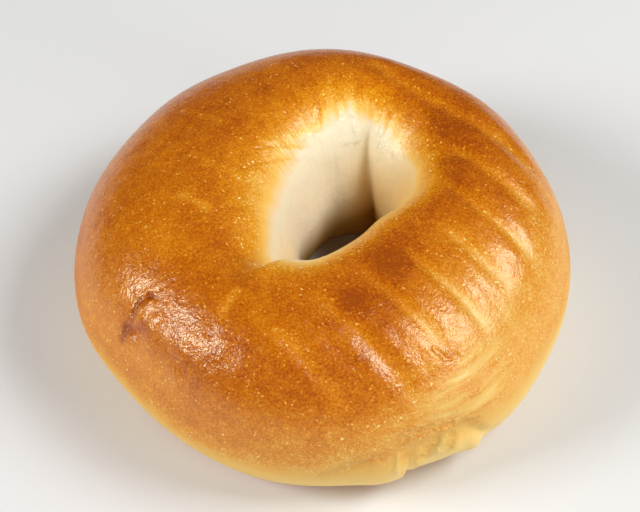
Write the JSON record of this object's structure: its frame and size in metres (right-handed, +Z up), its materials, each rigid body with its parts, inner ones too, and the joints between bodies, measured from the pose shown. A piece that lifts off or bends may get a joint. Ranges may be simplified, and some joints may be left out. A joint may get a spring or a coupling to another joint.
{
  "type": "bagel",
  "caption": "Plain round bagel with a glossy browned crust, a pale funnel-shaped hole, rack marks across the crown and a tucked seam low on the wall.",
  "frame": {"origin": "on the flat base, under the middle of the bagel's outer box", "axes": "+Z up through the ring, -Y towards the side with the tucked seam"},
  "size_m": [0.1126, 0.113, 0.0429],
  "materials": {
    "crust": "thin glossy baked crust, golden brown on the crown, paler low on the wall and cream coloured in the hole"
  },
  "bodies": {
    "root": {"bagel": "crust"}
  },
  "joints": []
}
